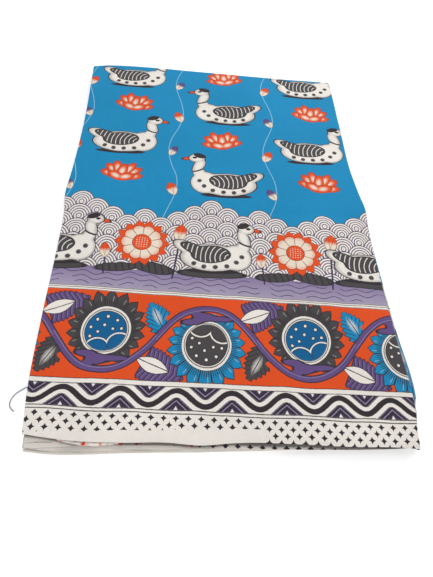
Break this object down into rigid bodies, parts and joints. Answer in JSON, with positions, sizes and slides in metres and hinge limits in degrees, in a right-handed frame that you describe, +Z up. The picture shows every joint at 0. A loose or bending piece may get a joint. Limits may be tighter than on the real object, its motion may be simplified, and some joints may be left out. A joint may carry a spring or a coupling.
{
  "type": "folded sari",
  "caption": "Printed cotton sari folded into a flat oblong packet that lies on a surface, with layered edges at the front and left, and a loose thread.",
  "frame": {"origin": "centre of the packet's box on the surface that it lies on, without the loose thread", "axes": "+Y from the selvedges at the front to the widthwise fold at the back, +X to the right seen from the front, +Z up"},
  "size_m": [0.4246, 0.6052, 0.0176],
  "materials": {
    "printed_cotton": "matt plain-weave cotton, printed in blue, orange, violet and dark grey on off-white",
    "border_cotton": "matt plain-weave cotton, off-white with a small dark print",
    "folded_cotton": "matt cotton layers, seen at their folds and selvedges",
    "thread": "soft twisted cotton yarn"
  },
  "bodies": {
    "root": {"top_leaf": "printed_cotton", "under_leaf": "printed_cotton", "upper_layers": "folded_cotton", "middle_leaf": "border_cotton", "lower_layers": "folded_cotton", "front_tuck": "border_cotton", "loose_thread": "thread"}
  },
  "joints": []
}
